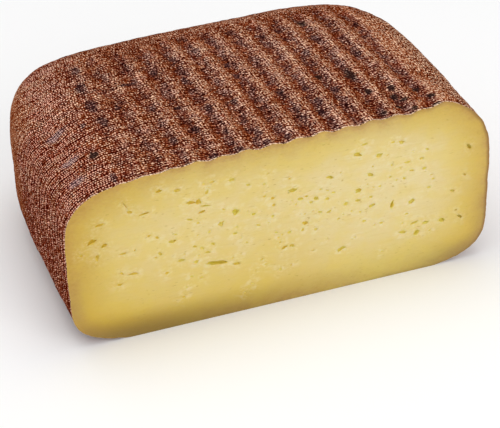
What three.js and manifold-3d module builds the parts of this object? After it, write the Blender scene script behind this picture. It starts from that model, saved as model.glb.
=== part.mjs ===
// A square, pillow-shaped cheese with a cloth-marked rind, cut straight through by a knife.
// Millimetres, +Z up. The loaf lies on its flattened base with the cut facing -Y, and the
// origin is at the middle of the base's outline box.
import * as THREE from 'three';
import { mergeVertices } from 'three/addons/utils/BufferGeometryUtils.js';
import Module from 'manifold-3d';

// The loaf's own sizes, from the middle of the knife's plane at the widest level
const HALF_WIDTH = 95; // out to each end, at the knife's plane
const KEPT_DEPTH = 139; // back to the far side
const LOST_DEPTH = 55; // forward to the side that was cut away
const CROWN_HEIGHT = 50.1; // up to the top
const KEEL_DEPTH = 32.5; // down to where the rounded underside would end
const WAIST_HEIGHT = 30.5; // down to the flat that the loaf has settled on
const END_RISE = 2.85; // how much higher the +X end is than the middle
const BACK_SPREAD = 0.042; // share by which the far side is wider than the knife's plane

// How square the form is: 2 would be an ellipse, and large numbers a box
const PLAN_SQUARENESS = 5.4;
const CROWN_SQUARENESS = 5.4;
const KEEL_SQUARENESS = 4.8;

// The grooves that a slatted press left on the top, running from the cut to the back
const GROOVE_PITCH = 11;
const GROOVE_DEPTH = 1.5;
const GROOVE_SHIFT = 0.7; // from the loaf's middle to the middle groove
const GROOVES_PLAIN_END = 0.83; // share of the half width where the ends' plain margins start
const GROOVES_PLAIN_BACK = 0.86; // share of the kept depth where the back's plain margin starts
const MARGIN_BLEND = 0.12; // share over which the grooves run out
const SHALLOW_END = 0.6; // what is left of the grooves' depth at the -X end

// How finely the form is divided
const SEGMENTS_PER_GROOVE = 5;
const WIDTH_SEGMENTS = Math.round((2 * HALF_WIDTH * SEGMENTS_PER_GROOVE) / GROOVE_PITCH);
const DEPTH_SEGMENTS = 37;
const HEIGHT_SEGMENTS = 13;
const BLOCK = 4 * KEPT_DEPTH; // edge of a block that is larger than the loaf

const RIND_COLOUR = 0x7d4a36;
const RIND_ROUGHNESS = 0.8;
const RIND_METALNESS = 0;

const wasm = await Module();
wasm.setup();

const { smoothstep, lerp } = THREE.MathUtils;

// The length of (a, b) by the rule of a superellipse with the given squareness
function roundedLength(a, b, squareness) {
  return (Math.abs(a) ** squareness + Math.abs(b) ** squareness) ** (1 / squareness);
}

// How deep a groove is at a place on the top, given as shares of the half width and the kept depth
function grooveDepth(across, back) {
  const wave = (1 + Math.cos((2 * Math.PI * (across * HALF_WIDTH - GROOVE_SHIFT)) / GROOVE_PITCH)) / 2;
  const toEnds = 1 - smoothstep(Math.abs(across), GROOVES_PLAIN_END - MARGIN_BLEND, GROOVES_PLAIN_END);
  const toBack = 1 - smoothstep(back, GROOVES_PLAIN_BACK - MARGIN_BLEND, GROOVES_PLAIN_BACK);
  const worn = lerp(SHALLOW_END, 1, smoothstep(across, -1, 0));
  return GROOVE_DEPTH * wave * toEnds * toBack * worn;
}

// Takes a point on the box of half size 1 to its place on the loaf
function loafPoint(point) {
  const upper = point.z > 0;
  const plan = roundedLength(point.x, point.y, PLAN_SQUARENESS);
  const reach = roundedLength(plan, point.z, upper ? CROWN_SQUARENESS : KEEL_SQUARENESS);
  const share = point.clone().divideScalar(reach);
  const crown = CROWN_HEIGHT + END_RISE * share.x;
  const groove = point.z === 1 ? grooveDepth(share.x, share.y) : 0;
  return new THREE.Vector3(
    share.x * HALF_WIDTH * (1 + BACK_SPREAD * share.y),
    share.y * (share.y > 0 ? KEPT_DEPTH : LOST_DEPTH),
    share.z * (upper ? crown : KEEL_DEPTH) - groove,
  );
}

// The whole loaf, before anything was cut away
function wholeLoaf() {
  const geometry = new THREE.BoxGeometry(2, 2, 2, WIDTH_SEGMENTS, DEPTH_SEGMENTS, HEIGHT_SEGMENTS);
  const place = geometry.attributes.position;
  const point = new THREE.Vector3();
  for (let i = 0; i < place.count; i += 1) {
    point.fromBufferAttribute(place, i);
    place.setXYZ(i, ...loafPoint(point));
  }
  return geometry;
}

function solidOf(geometry) {
  geometry.deleteAttribute('normal');
  geometry.deleteAttribute('uv');
  const merged = mergeVertices(geometry);
  const vertProperties = merged.attributes.position.array;
  const triVerts = Uint32Array.from(merged.index.array);
  return new wasm.Manifold(new wasm.Mesh({ numProp: 3, vertProperties, triVerts }));
}

function geometryOf(solid) {
  const { vertProperties, triVerts } = solid.getMesh();
  const geometry = new THREE.BufferGeometry();
  geometry.setAttribute('position', new THREE.BufferAttribute(vertProperties, 3));
  geometry.setIndex(new THREE.BufferAttribute(triVerts, 1));
  geometry.computeVertexNormals();
  return geometry;
}

// Blocks larger than the loaf take away what lay before the knife and what is pressed flat below
const beforeKnife = new THREE.BoxGeometry(BLOCK, BLOCK, BLOCK).translate(0, -BLOCK / 2, 0);
const belowBase = new THREE.BoxGeometry(BLOCK, BLOCK, BLOCK).translate(0, 0, -WAIST_HEIGHT - BLOCK / 2);
const cutLoaf = solidOf(wholeLoaf()).subtract(solidOf(beforeKnife)).subtract(solidOf(belowBase));

const rind = new THREE.MeshStandardMaterial({
  color: RIND_COLOUR,
  roughness: RIND_ROUGHNESS,
  metalness: RIND_METALNESS,
});
const loaf = new THREE.Mesh(geometryOf(cutLoaf), rind);
loaf.name = 'loaf';
loaf.position.set(0, -KEPT_DEPTH / 2, WAIST_HEIGHT);

const cheese = new THREE.Group();
cheese.add(loaf);

export default cheese;
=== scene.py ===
import math
import random

import bmesh
import bpy
from mathutils import Matrix, Vector, noise
from mathutils.kdtree import KDTree


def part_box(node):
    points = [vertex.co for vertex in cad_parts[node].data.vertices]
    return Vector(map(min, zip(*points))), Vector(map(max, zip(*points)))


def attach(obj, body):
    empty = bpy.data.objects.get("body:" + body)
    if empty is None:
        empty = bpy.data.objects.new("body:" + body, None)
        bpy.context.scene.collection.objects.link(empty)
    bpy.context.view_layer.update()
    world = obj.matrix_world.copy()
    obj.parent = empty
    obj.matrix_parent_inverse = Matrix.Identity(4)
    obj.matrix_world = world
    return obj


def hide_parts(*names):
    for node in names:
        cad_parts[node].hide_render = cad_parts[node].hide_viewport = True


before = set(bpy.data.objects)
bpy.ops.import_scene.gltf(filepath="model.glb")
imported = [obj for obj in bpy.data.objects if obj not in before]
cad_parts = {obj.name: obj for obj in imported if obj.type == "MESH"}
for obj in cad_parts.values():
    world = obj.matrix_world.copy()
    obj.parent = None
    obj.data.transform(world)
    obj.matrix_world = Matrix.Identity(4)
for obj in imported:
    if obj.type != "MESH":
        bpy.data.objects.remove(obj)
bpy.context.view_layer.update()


# The loaf
# A square cheese of pressed curd that ripened in a knotted cloth, so it has a pillow's form with
# rounded edges. A knife has cut it straight through, and it lies on its flattened base.
loaf_low, loaf_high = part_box("loaf")
HALF_WIDTH = 0.095
KEPT_DEPTH = loaf_high.y - loaf_low.y
CROWN_HEIGHT = 0.0501
KEEL_DEPTH = 0.0325
WAIST_HEIGHT = 0.0305
END_RISE = 0.00285
CORNER_RISE = 0.0033
CORNER_MIDDLE = 0.785
CORNER_REACH = 0.17
CORNER_DEPTH = 0.25
BACK_SPREAD = 0.042
PLAN_SQUARENESS = 5.4
CROWN_SQUARENESS = 5.4
KEEL_SQUARENESS = 4.6
ACROSS_CUTS = 169
DEPTH_CUTS = 109
HEIGHT_CUTS = 59
CUT_MIDDLE = Vector((0, loaf_low.y, WAIST_HEIGHT))


def rounded_length(a, b, squareness):
    """The length of (a, b) by the rule of a superellipse."""
    return (abs(a) ** squareness + abs(b) ** squareness) ** (1 / squareness)


def loaf_shares(box):
    """A point on the box of half size 1, drawn in to the rounded form of half size 1."""
    plan = rounded_length(box.x, box.y, PLAN_SQUARENESS)
    return box / rounded_length(plan, box.z, CROWN_SQUARENESS if box.z > 0 else KEEL_SQUARENESS)


def smoothstep(value, start, end):
    """0 below start, 1 above end, smooth between."""
    share = min(max((value - start) / (end - start), 0), 1)
    return share * share * (3 - 2 * share)


def corner_rise(shares):
    """How far the top stands up in the right corner of the cut."""
    near = 1 - smoothstep(abs(shares.x - CORNER_MIDDLE), 0, CORNER_REACH)
    return CORNER_RISE * near * (1 - smoothstep(shares.y, 0, CORNER_DEPTH))


def loaf_place(shares):
    """Where the shares lie on the smooth loaf, from the middle of the cut."""
    height = CROWN_HEIGHT + END_RISE * shares.x + corner_rise(shares) if shares.z > 0 else KEEL_DEPTH
    return Vector((
        shares.x * HALF_WIDTH * (1 + BACK_SPREAD * shares.y),
        shares.y * KEPT_DEPTH,
        max(shares.z * height, -WAIST_HEIGHT),
    ))


half_box = bmesh.new()
bmesh.ops.create_cube(half_box, size=2)
bmesh.ops.translate(half_box, vec=(0, 1, 0), verts=half_box.verts)
bmesh.ops.scale(half_box, vec=(1, 0.5, 1), verts=half_box.verts)
for axis, cuts in enumerate((ACROSS_CUTS, DEPTH_CUTS, HEIGHT_CUTS)):
    along = [edge for edge in half_box.edges if edge.verts[0].co[axis] != edge.verts[1].co[axis]]
    bmesh.ops.subdivide_edges(half_box, edges=along, cuts=cuts, use_grid_fill=True)


# The grooves on the top
# The slats of the boards that the loaf was pressed under left a row of shallow grooves, running from
# the cut to the back and out before the rounded edges. They wander a little, as the cloth gave way.
GROOVE_PITCH = 0.011
GROOVE_DEPTH = 0.0011
GROOVE_SHIFT = 0.0007
GROOVES_PLAIN_END = 0.83
GROOVES_PLAIN_BACK = 0.86
MARGIN_BLEND = 0.12
SHALLOW_END = 0.4
GROOVE_WANDER = 0.0008
WANDER_LENGTH = 0.04
DEPTH_CHANGE = 0.45
DEPTH_LENGTH = 0.013


def pressed_share(shares):
    """How far a place on the top took the print of the slats, from 0 on the margins to 1."""
    to_ends = 1 - smoothstep(abs(shares.x), GROOVES_PLAIN_END - MARGIN_BLEND, GROOVES_PLAIN_END)
    to_back = 1 - smoothstep(shares.y, GROOVES_PLAIN_BACK - MARGIN_BLEND, GROOVES_PLAIN_BACK)
    worn = SHALLOW_END + (1 - SHALLOW_END) * smoothstep(shares.x, -1, 0)
    return to_ends * to_back * worn


def groove_turn(place):
    """Where a place lies across its groove, as an angle that is 0 in the valley and pi on the crest."""
    wander = GROOVE_WANDER * noise.noise(place / WANDER_LENGTH)
    return math.tau * (place.x + wander - GROOVE_SHIFT) / GROOVE_PITCH


def groove_depth(place, valley):
    """How far the groove goes in at a place, for its share of the full depth."""
    change = 1 + DEPTH_CHANGE * noise.noise(place / DEPTH_LENGTH)
    return GROOVE_DEPTH * change * valley


# The rind's relief
# The rind dried unevenly in its cloth, so it is lumpy on a small scale and its cut edge is ragged.
LUMPS = ((0.00035, 0.018), (0.00022, 0.006), (0.00022, 0.0022))


def lump_height(place):
    """How far the rind stands out at a place."""
    return sum(height * noise.noise(place / length) for height, length in LUMPS)


pressed_mark = half_box.verts.layers.float.new("pressed")
valley_mark = half_box.verts.layers.float.new("valley")
flank_mark = half_box.verts.layers.float.new("flank")
box_mark = half_box.verts.layers.float_vector.new("box_place")
for vert in half_box.verts:
    box = vert.co.copy()
    vert[box_mark] = box
    level = max(abs(box.x), abs(box.y), abs(box.z))
    if level == 0:
        vert.co = CUT_MIDDLE
        continue
    shares = loaf_shares(box / level)
    place = loaf_place(shares)
    if box.z == level:
        pressed = pressed_share(shares)
        turn = groove_turn(place)
        vert[pressed_mark] = pressed
        vert[valley_mark] = (1 + math.cos(turn)) / 2
        vert[flank_mark] = -math.sin(turn)
        place.z -= groove_depth(place, pressed * vert[valley_mark])
    vert.co = CUT_MIDDLE + place * level

half_box.normal_update()
RIND, PASTE, OPENING = range(3)
for face in half_box.faces:
    face.smooth = True
    face.material_index = PASTE if all(vert[box_mark].y == 0 for vert in face.verts) else RIND
for vert in half_box.verts:
    box = vert[box_mark]
    if max(abs(box.x), abs(box.y), abs(box.z)) == 1 and vert.co.z > 0:
        outward = vert.normal.copy()
        if box.y == 0:
            outward.y = 0
        vert.co += outward.normalized() * lump_height(vert.co)
        vert.co.z = max(vert.co.z, 0)


# The cloth's lie
# The cloth's threads run across the top and down the ends, and from the cut over the top and down the
# back, so the weave is measured along the surface, in millimetres.
ARC_STEPS = 400


def arc_lengths(path):
    """Lengths along a path of points that starts at the middle of the top, in millimetres."""
    lengths = [0]
    for before, after in zip(path, path[1:]):
        lengths.append(lengths[-1] + 1000 * (after - before).length)
    return lengths


def over_the_edge(step):
    """Out along the top from 0 to 1 and then down the side to -1, for a step from 0 to ARC_STEPS."""
    run = 2 * step / ARC_STEPS
    return (run, 1) if run < 1 else (1, 1 - 2 * (run - 1))


outward_steps = [over_the_edge(step) for step in range(ARC_STEPS + 1)]
end_arc = arc_lengths([loaf_place(loaf_shares(Vector((out, 0, up)))) for out, up in outward_steps])
back_arc = arc_lengths([loaf_place(loaf_shares(Vector((0, out, up)))) for out, up in outward_steps])


def arc_at(arc, out, up):
    """The length along an arc at a point of the box, with the sign of its side."""
    run = out if up == 1 else 2 - (1 + up) / 2
    return math.copysign(arc[round(abs(run) * ARC_STEPS / 2)], run)


def cloth_place(box, side):
    """Where a box point of an end, the back or the top lies on the cloth, in millimetres."""
    if side == "end":
        return math.copysign(arc_at(end_arc, 1, box.z), box.x), arc_at(back_arc, box.y, 1)
    if side == "back":
        return arc_at(end_arc, box.x, 1), arc_at(back_arc, 1, box.z)
    return arc_at(end_arc, box.x, 1), arc_at(back_arc, box.y, 1)


def side_of(face):
    """Which side of the loaf a face belongs to."""
    boxes = [vert[box_mark] for vert in face.verts]
    if all(abs(box.x) == 1 for box in boxes):
        return "end"
    if all(box.y == 1 for box in boxes):
        return "back"
    return "top"


cloth_map = half_box.loops.layers.uv.new("cloth")
for face in half_box.faces:
    side = side_of(face)
    for loop in face.loops:
        loop[cloth_map].uv = cloth_place(loop.vert[box_mark], side)

loaf_mesh = bpy.data.meshes.new("cut_loaf")
half_box.to_mesh(loaf_mesh)
half_box.free()
cut_loaf = bpy.data.objects.new("cut_loaf", loaf_mesh)
bpy.context.scene.collection.objects.link(cut_loaf)


# The openings in the paste
# Small uneven eyes and slits that the ripening curd left, most of them across the middle of the cut.
# Each is given by its place across and above the waist, width and height in millimetres, and tilt.
MARKED_OPENINGS = (
    (-83.8, 21.5, 4, 2.4, 25), (-78.8, 18.5, 3.2, 1.7, 25), (-82, 13.5, 2.8, 1.6, 80),
    (-88.5, 16.1, 1.6, 1, 0), (-79.8, 28.9, 3.6, 1.2, 10), (-67, 32, 2.6, 1.4, -20),
    (-68.7, 35.6, 3.4, 0.4, -62), (-60.8, 29.7, 4.6, 0.7, 8), (-54.2, 39, 2.8, 1.4, 10),
    (-46.5, 37.5, 2.6, 1.4, 0), (-59.6, 18.5, 1.6, 1, 0), (-56.2, 16.8, 1.9, 1.2, -40),
    (-49.7, 13.3, 3.6, 1.6, 5), (-55.3, 8.5, 2.1, 1.6, -40), (-71, 12.6, 3, 0.9, 3),
    (-72.2, 3, 2, 1, -40), (-67.5, 1.5, 4, 0.9, -5), (-73.5, -2.4, 2.4, 1.2, 0),
    (-53, -1.9, 1.6, 1.3, 0), (-46.6, 2.9, 3, 1.4, -10), (-41.2, 30.2, 4, 1.6, -5),
    (-37.9, 29.8, 2.6, 2.3, 0), (-34, 33.5, 2.3, 1.4, 60), (-35, 27.2, 4, 0.8, -8),
    (-36.5, 24.6, 3, 1.1, 8), (-42, 22.2, 2.4, 1, -20), (-31.5, 38, 2.4, 0.9, 0),
    (-23, 37, 2.6, 1.3, 0), (-16, 32.8, 2.1, 1.1, -5), (-22, 20.9, 3.4, 3, -20),
    (-28.5, 16.6, 2.7, 2.2, 20), (-14, 17.9, 2, 1.4, 0), (-5.4, 23.7, 1.9, 1.3, 0),
    (-4.9, 20.2, 1.6, 1.3, -20), (-5.6, 14.7, 1.6, 1.2, 40), (-12, 11.9, 2, 1, -20),
    (-22.4, 10.3, 2.2, 1.1, 0), (-40.3, 8.3, 1.9, 1.1, -20), (-37.1, 6.6, 1.8, 1.2, -30),
    (-34.8, 4, 2.3, 1.2, -10), (-32.4, 7.6, 2.2, 1.2, -40), (-40, 0.4, 2, 1.8, 0),
    (-31, -2.5, 9.5, 2.2, -9), (-22.1, -5.2, 3.2, 1.4, -5), (-0.7, -2.5, 2.8, 1.3, 20),
    (3.6, 25.4, 4.2, 1.9, 5), (7, 20.3, 3, 1.5, -5), (9.7, 21, 1.7, 1, 0), (14, 18.9, 2.5, 1.8, -40),
    (11.8, 17.5, 2, 1.3, 0), (20.4, 27.8, 3.3, 1.5, -25), (32.8, 36.1, 3.8, 2, -10),
    (42.7, 33.5, 3.3, 1.8, 0), (39, 24.7, 3.3, 1.5, -30), (36, 40.4, 2.8, 0.9, 5), (49, 38.5, 2, 1, 0),
    (33.3, 18, 2.9, 2.3, 0), (33.2, 13.1, 2.5, 1.4, 0), (39.3, 13.5, 1.7, 1.3, 0),
    (27.7, 12.8, 2.1, 1.7, 10), (15.8, 11.6, 2, 0.9, -10), (20, 10.8, 2.5, 1.1, 20),
    (21.9, 19.9, 1.8, 0.9, -10), (19.2, 17.5, 1.7, 1.5, 0), (9, 7.7, 2.5, 1.7, -20),
    (1.7, 4.8, 1.8, 1.4, 0), (13.9, 3.3, 1.8, 1.1, 0), (39.8, 9, 3.4, 1.4, 15),
    (36.2, 1.8, 1.8, 1.1, 0), (44.3, -1.1, 1.9, 1.1, 0), (2.9, -2.4, 2.3, 1.5, -20),
    (25.5, -10, 4.4, 1.8, 22), (49.2, 7, 4, 1.7, 82), (53, 37.6, 3.1, 1.6, -8),
    (65, 31.3, 1.9, 1.3, -30), (62.5, 27.4, 2, 1.2, 0), (63.9, 22.1, 2, 1.6, 0), (58, 22.3, 2.2, 1, 0),
    (54.7, 19.2, 1.7, 1.3, -40), (56, 27, 2.6, 1.1, 0), (84.8, 28.2, 3.3, 1.6, -60),
    (66.4, 11.8, 1.8, 1, 0), (58.3, 6.5, 3.2, 2.2, 20), (77.8, 7.3, 2.1, 1.4, -20),
    (56.2, 0.5, 1.7, 1.1, 0), (60, -5, 4, 1.3, 12), (65.4, -6.2, 3.1, 1.5, 0),
    (73.4, -7, 3.1, 2.3, -10), (82, -7.2, 2.8, 1.3, -40), (54.7, -8.7, 3.5, 1.5, -8),
    (61.2, -10.6, 3.6, 2.4, 50), (83.4, 14.2, 1.7, 1, -30),
)
OPENING_SEED = 11
LOOSE_OPENINGS = 70
LOOSE_SPREAD = Vector((0.046, 0, 0.017))
LOOSE_MIDDLE = Vector((0.008, 0, 0.0405))
LOOSE_WIDTHS = (0.7, 1.5)
LOOSE_FLATNESS = (0.35, 0.8)
LOOSE_TILT = math.radians(12)
TILT_SPREAD = math.radians(20)
LEAST_GAP = 0.0008
RIM_ROOM = 0.006
OPENING_DEPTH = 0.7
END_TAPER = 0.1
BEND_LIMIT = 0.35
BEND_MIDDLE = 0.3
FINE_FORM_WIDTH = 0.001
WALL_BUMPS = ((0.45, 1.6), (0.3, 3.5))
BUMPS_SHIFT = 4000


def in_the_paste(middle, reach):
    """Whether an opening of that reach lies inside the cut's outline, clear of the rind."""
    shares = Vector((abs(middle.x) + reach + RIM_ROOM, 0, middle.z - WAIST_HEIGHT))
    shares.z += math.copysign(reach + RIM_ROOM, shares.z)
    shares.x /= HALF_WIDTH
    shares.z /= CROWN_HEIGHT - GROOVE_DEPTH if shares.z > 0 else WAIST_HEIGHT
    return rounded_length(shares.x, shares.z, KEEL_SQUARENESS) < 1


draw = random.Random(OPENING_SEED)
openings = []
for x, z, width, height, tilt in MARKED_OPENINGS:
    middle = Vector((x / 1000, loaf_low.y, z / 1000 + WAIST_HEIGHT))
    openings.append((middle, width / 2000, height / 2000, math.radians(tilt)))
while len(openings) < len(MARKED_OPENINGS) + LOOSE_OPENINGS:
    scatter = Vector((draw.gauss(0, 1), 0, draw.gauss(0, 1)))
    middle = LOOSE_MIDDLE + scatter * LOOSE_SPREAD
    middle.y = loaf_low.y
    half_width = draw.uniform(*LOOSE_WIDTHS) / 2000
    half_height = half_width * draw.uniform(*LOOSE_FLATNESS)
    tilt = draw.gauss(LOOSE_TILT, TILT_SPREAD)
    clear = all((middle - other[0]).length > half_width + other[1] + LEAST_GAP for other in openings)
    if clear and in_the_paste(middle, half_width):
        openings.append((middle, half_width, half_height, tilt))

hollows = bmesh.new()
for middle, half_width, half_height, tilt in openings:
    size = Vector((half_width, OPENING_DEPTH * (half_width + half_height) / 2, half_height))
    turned = Matrix.Translation(middle) @ Matrix.Rotation(-tilt, 4, "Y")
    bend = draw.uniform(-BEND_LIMIT, BEND_LIMIT)
    fineness = 3 if half_width > FINE_FORM_WIDTH else 2
    made = bmesh.ops.create_icosphere(hollows, subdivisions=fineness, radius=1)
    for vert in made["verts"]:
        swells = (share * noise.noise(vert.co * turns + middle * BUMPS_SHIFT) for share, turns in WALL_BUMPS)
        form = vert.co * (1 + sum(swells))
        form.z *= 1 - END_TAPER * min(abs(form.x), 1)
        form.z += bend * (form.x * form.x - BEND_MIDDLE)
        vert.co = turned @ (form * size)
for face in hollows.faces:
    face.smooth = True
    face.material_index = OPENING
hollow_mesh = bpy.data.meshes.new("hollows")
hollows.to_mesh(hollow_mesh)
hollows.free()
hollow_object = bpy.data.objects.new("hollows", hollow_mesh)
bpy.context.scene.collection.objects.link(hollow_object)


# The rind
# A dry brown crust that was rubbed with oil and ground pepper. The cloth's weave is printed in it,
# its crests are worn pale, and dark mould has settled in the grooves.
class Signal:
    """A value or colour in a material. Arithmetic on it adds Math nodes."""

    def __init__(self, tree, socket=None):
        self.tree = tree
        self.socket = socket

    def make(self, kind, settings, inputs, output=0):
        """A node of that kind, with its settings and the values or links of its inputs."""
        node = self.tree.nodes.new("ShaderNode" + kind)
        for name, value in settings.items():
            if name == "stops":
                while len(node.color_ramp.elements) < len(value):
                    node.color_ramp.elements.new(1)
                for element, (position, colour) in zip(node.color_ramp.elements, value):
                    element.position = position
                    element.color = colour
            else:
                setattr(node, name, value)
        for name, value in inputs.items():
            if isinstance(value, Signal):
                self.tree.links.new(value.socket, node.inputs[name])
            else:
                node.inputs[name].default_value = value
        return Signal(self.tree, node.outputs[output])

    def maths(self, operation, first, second):
        return self.make("Math", {"operation": operation}, {0: first, 1: second})

    def __add__(self, other):
        return self.maths("ADD", self, other)

    def __radd__(self, other):
        return self.maths("ADD", other, self)

    def __sub__(self, other):
        return self.maths("SUBTRACT", self, other)

    def __rsub__(self, other):
        return self.maths("SUBTRACT", other, self)

    def __mul__(self, other):
        return self.maths("MULTIPLY", self, other)

    def __rmul__(self, other):
        return self.maths("MULTIPLY", other, self)


def step_up(value, start, end):
    """0 where the value is below start, 1 above end, smooth between."""
    limits = {"Value": value, "From Min": start, "From Max": end}
    return value.make("MapRange", {"interpolation_type": "SMOOTHSTEP"}, limits)


def fade_out(value, start, end):
    """1 where the value is below start, 0 above end, smooth between."""
    return 1 - step_up(value, start, end)


def band(value, rise, fall):
    """1 between two slopes and 0 outside them, each slope given by where it starts and ends."""
    return step_up(value, *rise) * fade_out(value, *fall)


def blended(share, first, second):
    """A value between two, by the share of the second."""
    return first + share * (second - first)


def clouds(place, size, detail=2):
    """Cloudy variation around 0.5, with clouds of that size in millimetres."""
    return place.make("TexNoise", {}, {"Vector": place, "Scale": 1 / size, "Detail": detail})


def stretched(place, x, y, z):
    """A place with its parts multiplied, so that patterns on it shrink by as much."""
    return place.make("VectorMath", {"operation": "MULTIPLY"}, {0: place, 1: (x, y, z)})


def mixed(share, first, second):
    """A colour between two, by the share of the second."""
    return share.make("Mix", {"data_type": "RGBA"}, {0: share, 6: first, 7: second}, 2)


def linear(red, green, blue):
    """A colour from its screen values of 0 to 255."""
    def channel(value):
        value /= 255
        return value / 12.92 if value <= 0.04045 else ((value + 0.055) / 1.055) ** 2.4
    return channel(red), channel(green), channel(blue), 1


def even_stops(*colours):
    """Stops of a colour ramp, spread evenly from 0 to 1."""
    return [(index / (len(colours) - 1), linear(*colour)) for index, colour in enumerate(colours)]


def toned(tone, stops):
    """The colour that a ramp with those stops has at a tone."""
    return tone.make("ValToRGB", {"stops": stops}, {0: tone})


def new_material(name):
    """A material, its shader, a signal to make nodes with, and the place on the object in millimetres."""
    material = bpy.data.materials.new(name)
    material.use_nodes = True
    shader = material.node_tree.nodes["Principled BSDF"]
    blank = Signal(material.node_tree)
    coords = blank.make("TexCoord", {}, {}, "Object")
    millimetres = blank.make("VectorMath", {"operation": "SCALE"}, {0: coords, "Scale": 1000})
    return material, shader, blank, millimetres


def wear(shader, **signals):
    """Links signals to the shader's sockets, by name with _ for a space."""
    for name, signal in signals.items():
        signal.tree.links.new(signal.socket, shader.inputs[name.replace("_", " ")])


def bumped(height, strength):
    """A surface's normal from a height in millimetres."""
    return height.make("Bump", {}, {"Height": height, "Strength": strength, "Distance": 0.001})


def mark(blank, name):
    """A value that the mesh carries."""
    return blank.make("Attribute", {"attribute_name": name}, {}, "Fac")


WEAVE_PITCHES = (1.2, 1.55)
END_PITCHES = (1, 3.9)
RIGHT_PITCHES = (1.4, 2.2)
END_SLANT = 0.64
HATCH_SLANT = 0.45
LINE_PITCH = 1.2
CRUST_TONES = even_stops(
    (44, 3, 0), (78, 19, 5), (109, 48, 27), (147, 85, 60), (194, 140, 109), (248, 206, 174),
)
ORANGE_TONES = even_stops(
    (54, 9, 0), (95, 28, 6), (129, 58, 24), (163, 96, 58), (204, 148, 110), (248, 210, 178),
)
WINE_TONES = even_stops(
    (48, 0, 0), (86, 15, 0), (117, 41, 17), (154, 77, 51), (201, 127, 101), (250, 188, 164),
)
PURPLE_TONES = even_stops(
    (28, 4, 4), (64, 23, 17), (97, 49, 41), (138, 85, 71), (187, 136, 115), (245, 203, 180),
)
MOULD_TONES = even_stops(
    (20, 5, 6), (50, 22, 20), (80, 42, 37), (116, 72, 65), (167, 121, 110), (228, 190, 177),
)
FROST_TONES = even_stops((58, 44, 47), (190, 168, 172))
MARK_COLOUR = linear(46, 30, 32)
BLACK_COLOUR = linear(34, 21, 19)
CUT_EDGE_COLOUR = linear(238, 208, 178)
BLACK_SPOTS = (
    (-73.1, 28.3, 2.8, 3.6), (67.1, 18.8, 2.2, 2.1), (69.9, 8.7, 2.3, 2.2), (69.4, 0.3, 2.2, 2.2),
    (45.9, 41, 2.5, 6), (46, 98, 2, 4), (56.3, 16.4, 1.8, 3), (58, 23.5, 1.8, 3), (33, 45, 1.9, 2.4),
    (58.8, 12, 2.2, 1.6), (54.7, 7.6, 1.9, 2), (46.5, 4.4, 2, 1.8), (47.5, 24.2, 1.9, 2.6),
    (60, 3, 1.5, 1.6),
)
MOULD_SPOTS = (
    (-62.1, 101, 2.6, 5), (-63.2, 84, 2.6, 6), (-63.2, 66, 2.4, 7), (-62.2, 50, 2.2, 5),
    (-44, 74.4, 5, 1.8), (-30.9, 80, 1.8, 3), (-20, 90, 1.8, 3), (23, 17, 1.8, 4),
    (-20.5, 67.5, 1.6, 3), (-30.5, 45.5, 2, 2.2), (-19, 40, 1.6, 3.5), (-7.5, 40.5, 1.8, 2.6),
    (-40.7, 21, 2, 2.8), (-18.6, 19, 1.6, 3), (0.6, 72, 1.8, 2.4), (1.5, 61, 1.6, 2.6),
    (13, 39.5, 1.8, 3.5), (24, 38, 1.8, 2.8), (35, 31, 2, 4), (14.5, 23, 1.8, 3), (25, 25.5, 2, 3.5),
    (14.7, 15, 2.2, 2.4), (33, 95, 2, 2.5), (36, 67.5, 1.6, 4), (56.5, 58.5, 1.8, 2.5),
    (45, 80, 1.8, 3), (-7, 11, 1.8, 3), (-29.9, 2, 2.2, 2), (-18, 2.6, 2.2, 2.2), (-6.2, 3.2, 2.2, 2.2),
    (3.4, 4.2, 2, 2.2), (-71.1, 6.5, 1.6, 4.5), (-53.7, 57.4, 1.7, 2.2), (-40.3, 49.3, 1.8, 2.6),
    (-70.8, 52.7, 1.5, 2.2), (-29.4, 24.5, 1.8, 2.6), (-7.4, 92.3, 1.8, 3),
)
GREY_DASHES = ((-83.5, 58, 6, 3.2), (-83.8, 33.3, 5.6, 3), (-85.6, 16.4, 5, 3))


def pulled(place, size, reach):
    """Sideways shifts in millimetres, wandering over that size, of up to about half the reach."""
    wander = place.make("TexNoise", {}, {"Vector": place, "Scale": 1 / size, "Detail": 1}, "Color")
    middled = place.make("VectorMath", {"operation": "SUBTRACT"}, {0: wander, 1: (0.5, 0.5, 0.5)})
    return place.make("VectorMath", {"operation": "SCALE"}, {0: middled, "Scale": reach})


def added(first, second):
    return first.make("VectorMath", {"operation": "ADD"}, {0: first, 1: second})


def part_of(vector, axis):
    return vector.make("SeparateXYZ", {}, {0: vector}, axis)


def length_of(vector):
    return vector.make("VectorMath", {"operation": "LENGTH"}, {0: vector}, "Value")


def moved(place, axis, shift):
    """A place shifted along one axis."""
    return added(place, shift.make("CombineXYZ", {}, {axis: shift}))


def spotted(cloth, ragged, spots):
    """1 in any of the spots, which are given by middle and half sizes in the cloth's millimetres."""
    share = 0
    for across, back, half_across, half_back in spots:
        offset = added(cloth, (-across, -back, 0))
        reach = length_of(stretched(offset, 1 / half_across, 1 / half_back, 0))
        share = share + fade_out(reach + ragged, 0.5, 1.2)
    return share


def thread_print(distance, pitch):
    """1 on the threads and 0 between them, for a distance across them and their pitch in millimetres."""
    turn = distance * (math.tau / pitch)
    return 0.5 - 0.5 * distance.make("Math", {"operation": "COSINE"}, {0: turn})


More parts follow.
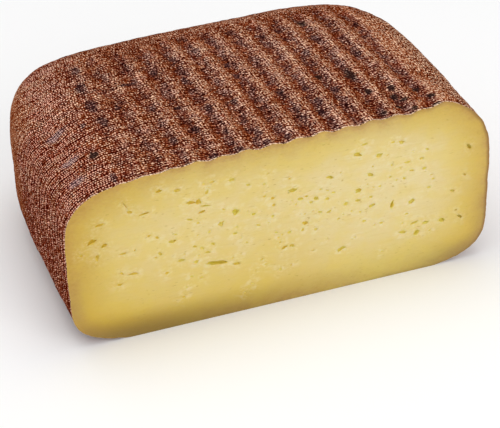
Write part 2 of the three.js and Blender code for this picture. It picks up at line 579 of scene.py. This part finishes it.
def weave(threads, pitches, row_share, bead_share):
    """The cloth's print, around 0: faint rows of beads, each with its own luck and every row shifted."""
    column_pitch, row_pitch = pitches
    back = part_of(threads, "Y")
    rows = thread_print(back, row_pitch)
    row = threads.make("Math", {"operation": "SNAP"}, {0: back, 1: row_pitch})
    shift = threads.make("TexWhiteNoise", {"noise_dimensions": "1D"}, {"W": row})
    bonded = moved(threads, "X", column_pitch * shift)
    columns = thread_print(part_of(bonded, "X"), column_pitch)
    cell = threads.make("VectorMath", {"operation": "SNAP"}, {0: bonded, 1: (column_pitch, row_pitch, 1)})
    luck = threads.make("TexWhiteNoise", {"noise_dimensions": "2D"}, {"Vector": cell})
    return row_share * (rows - 0.5) + bead_share * (rows * columns * (0.2 + 0.8 * luck) - 0.15)


rind, rind_shader, blank, place = new_material("rind")
pressed, valley, flank = (mark(blank, name) for name in ("pressed", "valley", "flank"))
cloth = blank.make("UVMap", {"uv_map": "cloth"}, {})
across = part_of(cloth, "X")
along = part_of(cloth, "Y")

# Parts of the rind, by where they lie on the cloth
far_left = fade_out(across, -100, -84) * step_up(along, 66, 92)
round_the_back = step_up(part_of(place, "Y"), 26, 48)
left_end = (1 - step_up(across, -114, -90) * (1 - far_left)) * (1 - round_the_back)
low = left_end * fade_out(part_of(place, "Z"), 15, 62)
strokes = left_end * (1 - far_left)
shoulder = band(across, (-112, -96), (-75, -55)) * (1 - far_left) * fade_out(along, 114, 132)
pale_corner = shoulder * step_up(along, 60, 85)
on_top = band(across, (-82, -58), (62, 84))
dim = band(across, (-78, -60), (-28, -8))
margin = band(across, (68, 74), (75, 81))
coarse = step_up(across, 66, 88)
right_end = coarse * fade_out(across, 94, 150) * (1 - 0.7 * step_up(along, 112, 136))
past_the_edge = step_up(across, 96, 114)
calm = past_the_edge + step_up(along, 116, 134) * (1 - past_the_edge)
back_edge = step_up(along, 94, 114) * step_up(across, -75, -40)

# The cloth's print, in rows of beads
wide_pull = pulled(place, 14, 1.2 + 1.3 * pressed)
fine_pull = pulled(place, 2.2, 0.5 + 1.6 * pressed + 1.2 * left_end)
shifted = added(added(cloth, wide_pull), fine_pull)
slanted = moved(shifted, "X", END_SLANT * along)
beads = 1.2 - 0.5 * pressed + 0.6 * shoulder - 0.7 * far_left * (1 - calm) - 0.5 * calm
bumps = weave(shifted, WEAVE_PITCHES, 0.3 - 0.15 * pressed - 0.15 * calm, beads)
bumps = bumps + strokes * (weave(slanted, END_PITCHES, 0, 1.8 - 0.7 * low) - 0.5 * bumps)
bumps = blended(coarse, bumps, weave(shifted, RIGHT_PITCHES, 0.25 - 0.1 * calm, 1.7 - 0.8 * calm))

# Crumbs of pepper, and patches where the rind is paler or darker
hatched = moved(place, "Y", HATCH_SLANT * part_of(place, "X"))
crumbs = clouds(stretched(cloth, 1, 0.6, 1), 0.75, 1)
crumbs = blended(on_top, crumbs, clouds(stretched(hatched, 0.7, 1, 1), 0.6, 1))
crumbs = blended(0.4 * left_end + 0.6 * strokes, crumbs, clouds(stretched(slanted, 1, 0.2, 1), 0.55, 1))
patches = clouds(place, 4.5)
drifts = clouds(place, 15)
blotches = clouds(stretched(place, 1, 0.7, 1), 3.6)
streaks = clouds(stretched(place, 1, 0.4, 1), 4)
mottled = 0.4 * (patches - 0.5) + 0.35 * (drifts - 0.5) + 0.25 * (blotches - 0.5)
mottled = mottled + 0.3 * left_end * (streaks - 0.5)

# The grooves' crests and valleys
ridge = step_up(1 - valley, 0.55, 0.9)
lines = thread_print(across + 0.4 * patches, LINE_PITCH)
crest = 0.05 * step_up(1 - valley, 0.3, 0.8) + ridge * (0.34 * lines - 0.1)
sunk = pressed * step_up(valley + 0.1 * flank, 0.25, 0.95)
damp = pressed * step_up(valley - 0.35 * flank, 0.25, 0.95)
shadowed = 0.02 * flank + 0.03 * step_up(flank, 0, 1) + 0.03 * step_up(valley + 0.45 * flank, 0.85, 1.12)

# The tone, from 0 in the dark to 1 where it is palest
grain = 3.2 - 0.2 * on_top - 0.7 * sunk - 0.4 * left_end - 1.2 * low * (1 - far_left)
grain = grain - 0.9 * far_left - 0.3 * shoulder + 0.8 * right_end
tone = 0.42 + bumps + grain * (crumbs - 0.5) + (1 - 0.6 * low) * mottled
tone = tone + pressed * (crest - 0.05 - shadowed) - 0.08 * low - 0.05 * dim
tone = tone + 0.13 * margin - 0.03 * right_end - 0.1 * back_edge
tone = tone + 0.03 * shoulder + 0.03 * pale_corner + 0.05 * far_left

# The colours at that tone, and how much of each there is
crust = toned(tone, CRUST_TONES)
wine = toned(tone, WINE_TONES)
orange = toned(tone, ORANGE_TONES)
purple = toned(tone, PURPLE_TONES)
mould = toned(tone - 0.1, MOULD_TONES)
frosted = toned(tone, FROST_TONES)
warm = 0.2 * pressed * flank + 0.4 * right_end + 0.3 * back_edge + 0.45 * far_left
wine_share = 1 - step_up(across, -92, -46) * (1 - 0.8 * back_edge)
reddened = on_top * step_up(clouds(stretched(place, -1, 1, 1), 4.5) + 0.08 * flank, 0.48, 0.64)
orange_share = step_up(clouds(place, 5) + warm, 0.4, 0.7)
purple_share = step_up(clouds(stretched(place, 1, 1, -1), 4) - 0.7 * warm, 0.48, 0.7)
mould_share = step_up(blotches + 0.1 * damp + 0.1 * (crumbs - 0.5), 0.56, 0.65) * damp
ragged = 1.2 * (crumbs - 0.5)
marked = spotted(cloth, ragged, MOULD_SPOTS)
at_the_cut = fade_out(1000 * mark(blank, "rind_depth"), 0.2, 1.3)
colour = mixed(wine_share + 0.45 * reddened * (1 - wine_share), crust, wine)
colour = mixed(orange_share * (0.8 - 0.15 * wine_share + 0.25 * far_left), colour, orange)
colour = mixed(purple_share * (0.7 - 0.4 * wine_share) + 0.12 * pale_corner, colour, purple)
colour = mixed(0.75 * mould_share, colour, mould)
colour = mixed(0.8 * marked, colour, mould)
colour = mixed(0.3 * marked, colour, MARK_COLOUR)
colour = mixed(0.5 * spotted(cloth, 0.4 * ragged, GREY_DASHES), colour, frosted)
colour = mixed(0.9 * spotted(cloth, ragged, BLACK_SPOTS), colour, BLACK_COLOUR)
colour = mixed(at_the_cut * step_up(crumbs, 0.42, 0.6), colour, CUT_EDGE_COLOUR)
relief = 0.25 * bumps + 0.5 * (crumbs - 0.5) + 0.3 * (patches - 0.5)
wear(rind_shader, Base_Color=colour, Roughness=0.95 - 0.25 * tone, Normal=bumped(relief, 0.7))
rind_shader.inputs["Specular IOR Level"].default_value = 0


# The paste
# Firm, pale yellow curd, cut smooth. It is darker and more amber towards the rind, where it has dried,
# and the knife has left faint lines along the cut.
PASTE_REACH = 26
PASTE_COLOURS = (
    (0, (176, 139, 78)), (1, (188, 152, 88)), (3, (201, 171, 97)), (6, (209, 183, 108)),
    (10, (215, 191, 117)), (16, (218, 196, 130)), (PASTE_REACH, (221, 200, 138)),
)
PASTE_TONES = [(depth / PASTE_REACH, linear(*colour)) for depth, colour in PASTE_COLOURS]
PALE_CORE = Vector((45, 0, 48))
CORE_HALF_WIDTH = 50
CORE_HALF_HEIGHT = 30
CORE_COLOUR = linear(224, 206, 152)
MOTTLE_COLOUR = linear(223, 197, 84)
AMBER_COLOUR = linear(192, 153, 50)
GOLD_COLOUR = linear(210, 177, 50)
LEMON_COLOUR = linear(226, 214, 118)
BLOOM_COLOUR = linear(233, 219, 170)
CHALK_COLOUR = linear(228, 214, 170)
DRAG_COLOUR = linear(196, 166, 84)
SPECK_COLOUR = linear(184, 154, 66)
RIM_SHADE_COLOUR = linear(128, 92, 52)
LEFT_SHADE = linear(116, 94, 38)
RIGHT_SHADE = linear(134, 116, 60)
UNDERSIDE_SHADE_COLOUR = linear(148, 120, 84)

paste, paste_shader, blank, place = new_material("paste")
depth = 1000 * mark(blank, "rind_depth")
eye_gap = 1000 * mark(blank, "eye_gap")
across = part_of(place, "X")
height = part_of(place, "Z")
off_core = added(place, tuple(-PALE_CORE))
from_core = length_of(stretched(off_core, 1 / CORE_HALF_WIDTH, 0, 1 / CORE_HALF_HEIGHT))
left_end = fade_out(across, -92, -40)
right_end = step_up(across, 40, 90)
right_side = step_up(across, -70, 45)
base = fade_out(height, 2, 24)
bounce_low_left = fade_out(height, 16, 52) * fade_out(across, -5, 30)
plain = 1 - 0.5 * step_up(across, 62, 80)

# The curd, with the knife's lines
drag = clouds(stretched(place, 0.12, 1, 1.2), 0.9)
grain = clouds(stretched(place, 0.7, 1, 1), 0.9)
curd = clouds(stretched(place, 0.8, 1, 1.2), 5, 3)
slow = 1 - 0.5 * left_end - 0.3 * right_end - 0.3 * base
ripened = depth * slow * (1 + 0.5 * (clouds(place, 18) - 0.5)) * (1 / PASTE_REACH)
colour = toned(ripened + 0.13 * (grain - 0.5) + 0.16 * (curd - 0.5), PASTE_TONES)
colour = mixed(0.8 * fade_out(from_core, 0.3, 1.2), colour, CORE_COLOUR)
mottle = step_up(clouds(stretched(place, 0.7, 1, 1), 8, 3), 0.38, 0.66)
colour = mixed(0.28 * mottle, colour, MOTTLE_COLOUR)

# Deeper yellows towards the rind and the base
amber = fade_out(depth, 2, 22) * (left_end + 0.7 * right_end + base * (1 - right_side))
colour = mixed(0.45 * amber, colour, AMBER_COLOUR)
# Painted light: on the lower left the gold stands for yellow light bounced onto the cut; towards the ends it
# is the curd's own colour
golden = 0.14 * left_end + 0.26 * step_up(across, 60, 92) + 0.26 * bounce_low_left
colour = mixed(golden * step_up(depth, 0, 9), colour, GOLD_COLOUR)
lemon = base * band(across, (0, 45), (66, 88))
colour = mixed(0.3 * lemon, colour, LEMON_COLOUR)

# Pale curd around the openings, and small dark specks
bloom = step_up(0.3 * curd + 0.7 * grain, 0.45, 0.65) * plain * fade_out(eye_gap, 0.3, 4)
chalky = step_up(clouds(stretched(place, 0.8, 1, 1.1), 2.6), 0.5, 0.68) * fade_out(eye_gap, 0.5, 6)
chalky = chalky * plain * (1 - 0.6 * left_end)
specks = step_up(clouds(stretched(place, 0.4, 1, 1.5), 1.2, 1), 0.66, 0.74)
specks = specks * step_up(clouds(place, 11), 0.42, 0.58)
colour = mixed(0.3 * bloom, colour, BLOOM_COLOUR)
colour = mixed(0.45 * chalky, colour, CHALK_COLOUR)
colour = mixed(0.1 * step_up(drag, 0.5, 0.7), colour, DRAG_COLOUR)
colour = mixed(0.6 * specks, colour, SPECK_COLOUR)

# Painted shade along the rind on the right of the cut, along the bottom, and where the cut turns under
rim_shade = fade_out(depth, 0.1, 2) * (0.3 * step_up(across, 25, 55) + 0.5 * step_up(across, 78, 92))
colour = mixed(rim_shade, colour, RIM_SHADE_COLOUR)
shaded = 0.62 + 0.1 * step_up(across, -88, -72) - 0.6 * right_side + 0.35 * step_up(across, 55, 85)
shade = mixed(right_side, LEFT_SHADE, RIGHT_SHADE)
colour = mixed(fade_out(height, 1, 15) * shaded, colour, shade)
# Painted shade, greyer, where the cut rounds off under the ends near the rind
underside_shade = (left_end + right_end) * fade_out(depth, 1, 9) * fade_out(height, 18, 44)
colour = mixed(0.3 * underside_shade, colour, UNDERSIDE_SHADE_COLOUR)
relief = 0.05 * drag + 0.24 * grain + 0.25 * curd - 0.15 * specks - 0.3 * fade_out(eye_gap, 0, 1)
wear(paste_shader, Base_Color=colour, Roughness=0.55 + 0.2 * (drag - 0.5), Normal=bumped(relief, 0.6))


# The openings' walls
# The same curd, uncut and moist, so it is shinier, and painted shade deepens its colour the further in it
# is.
FRESH_WALL = (linear(227, 208, 104), linear(211, 191, 66))
DRIED_WALL = (linear(222, 194, 80), linear(206, 168, 32))
WALL_SHADE = linear(166, 126, 6)
CURD_LOOK = {
    "Specular IOR Level": 0.25,
    "Subsurface Weight": 0.3,
    "Subsurface Radius": (1, 0.6, 0.2),
    "Subsurface Scale": 0.003,
}

opening, opening_shader, blank, place = new_material("opening")
# Painted shade: the walls darken and deepen in colour further into each opening
inside = step_up(1000 * mark(blank, "eye_gap") + 0.8 * (clouds(place, 1.5) - 0.5), 0.2, 1.6)
across = part_of(place, "X")
aged = 0.3 * fade_out(across, -75, -35) - 0.1 * step_up(across, 0, 40)
dried_share = step_up(clouds(place, 9) + aged, 0.46, 0.6)
colour = mixed(dried_share, mixed(inside, *FRESH_WALL), mixed(inside, *DRIED_WALL))
# Painted shade: the openings near the right edge are darker inside
colour = mixed(0.55 * step_up(across, 73, 82), colour, WALL_SHADE)
wear(opening_shader, Base_Color=colour)
opening_shader.inputs["Roughness"].default_value = 0.35

for shader in (paste_shader, opening_shader):
    for name, value in CURD_LOOK.items():
        shader.inputs[name].default_value = value

for mesh in (loaf_mesh, hollow_mesh):
    for material in (rind, paste, opening):
        mesh.materials.append(material)


# The cut
# The hollows are taken out of the loaf. Each point then gets its distance from the edges where the
# paste meets the rind and where it meets the openings, for the materials.
hollowing = cut_loaf.modifiers.new("hollowing", "BOOLEAN")
hollowing.object = hollow_object
hollowing.operation = "DIFFERENCE"
hollowing.solver = "EXACT"
graph = bpy.context.evaluated_depsgraph_get()
cut_mesh = bpy.data.meshes.new_from_object(cut_loaf.evaluated_get(graph))
cut_loaf.modifiers.clear()
cut_loaf.data = cut_mesh
cut_mesh.name = "cut_loaf"
bpy.data.objects.remove(hollow_object)
bpy.data.meshes.remove(hollow_mesh)
bpy.data.meshes.remove(loaf_mesh)

cut = bmesh.new()
cut.from_mesh(cut_mesh)


def edge_points(first_kind, second_kind):
    """Points along the edges where faces of two kinds meet, ready to be searched."""
    points = []
    for edge in cut.edges:
        if {face.material_index for face in edge.link_faces} == {first_kind, second_kind}:
            points += [edge.verts[0].co, (edge.verts[0].co + edge.verts[1].co) / 2]
    tree = KDTree(len(points))
    for index, point in enumerate(points):
        tree.insert(point, index)
    tree.balance()
    return tree


for edge in cut.edges:
    edge.smooth = len({face.material_index for face in edge.link_faces}) == 1
for name, kind in (("rind_depth", RIND), ("eye_gap", OPENING)):
    gap_mark = cut.verts.layers.float.new(name)
    edges = edge_points(PASTE, kind)
    for vert in cut.verts:
        vert[gap_mark] = edges.find(vert.co)[2]
cut.to_mesh(cut_mesh)
cut.free()

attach(cut_loaf, "root")
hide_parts("loaf")


# The floor
# A plain white studio sweep that the loaf lies on.
FLOOR_SIZE = 4
FLOOR_COLOUR = (0.93, 0.93, 0.93, 1)
FLOOR_ROUGHNESS = 0.9

floor_form = bmesh.new()
bmesh.ops.create_grid(floor_form, x_segments=1, y_segments=1, size=FLOOR_SIZE / 2)
floor_mesh = bpy.data.meshes.new("floor")
floor_form.to_mesh(floor_mesh)
floor_form.free()
floor = bpy.data.objects.new("floor", floor_mesh)
bpy.context.scene.collection.objects.link(floor)
floor_paint = bpy.data.materials.new("floor_paint")
floor_paint.use_nodes = True
floor_shader = floor_paint.node_tree.nodes["Principled BSDF"]
floor_shader.inputs["Base Color"].default_value = FLOOR_COLOUR
floor_shader.inputs["Roughness"].default_value = FLOOR_ROUGHNESS
floor_mesh.materials.append(floor_paint)


# The light
# A white tent all round, with a large soft lamp over the loaf and another in front of the cut.
TENT_COLOUR = (1, 1, 1, 1)
TENT_STRENGTH = 0.65


def soft_lamp(name, place, aim, size, power):
    data = bpy.data.lights.new(name, "AREA")
    data.size = size
    data.energy = power
    lamp = bpy.data.objects.new(name, data)
    lamp.location = place
    lamp.rotation_euler = (Vector(aim) - Vector(place)).to_track_quat("-Z", "Y").to_euler()
    bpy.context.scene.collection.objects.link(lamp)


soft_lamp("overhead", (-0.1, 0.1, 1.1), (0, 0, 0.04), 1.0, 5)
soft_lamp("front", (0.3, -1.1, 0.7), (0, -0.07, 0.04), 0.9, 5)
tent = bpy.data.worlds.new("tent")
tent.use_nodes = True
tent_glow = tent.node_tree.nodes["Background"]
tent_glow.inputs["Color"].default_value = TENT_COLOUR
tent_glow.inputs["Strength"].default_value = TENT_STRENGTH
bpy.context.scene.world = tent
bpy.context.scene.view_settings.view_transform = "Standard"


# The camera
# It looks down on the cut from the left, turned a little about its own line of sight.
CAMERA_PLACE = Vector((-0.20403, -0.62031, 0.43343))
CAMERA_AIM = Vector((-0.01157, -0.0578, 0.04064))
CAMERA_ROLL = math.radians(-1.783)
CAMERA_LENS = 120.5
CAMERA_SENSOR = 36

camera_data = bpy.data.cameras.new("camera")
camera_data.lens = CAMERA_LENS
camera_data.sensor_width = CAMERA_SENSOR
camera_data.sensor_fit = "HORIZONTAL"
camera = bpy.data.objects.new("camera", camera_data)
bpy.context.scene.collection.objects.link(camera)
level_view = (CAMERA_AIM - CAMERA_PLACE).to_track_quat("-Z", "Y").to_matrix().to_4x4()
camera.matrix_world = Matrix.Translation(CAMERA_PLACE) @ level_view @ Matrix.Rotation(CAMERA_ROLL, 4, "Z")
bpy.context.scene.camera = camera
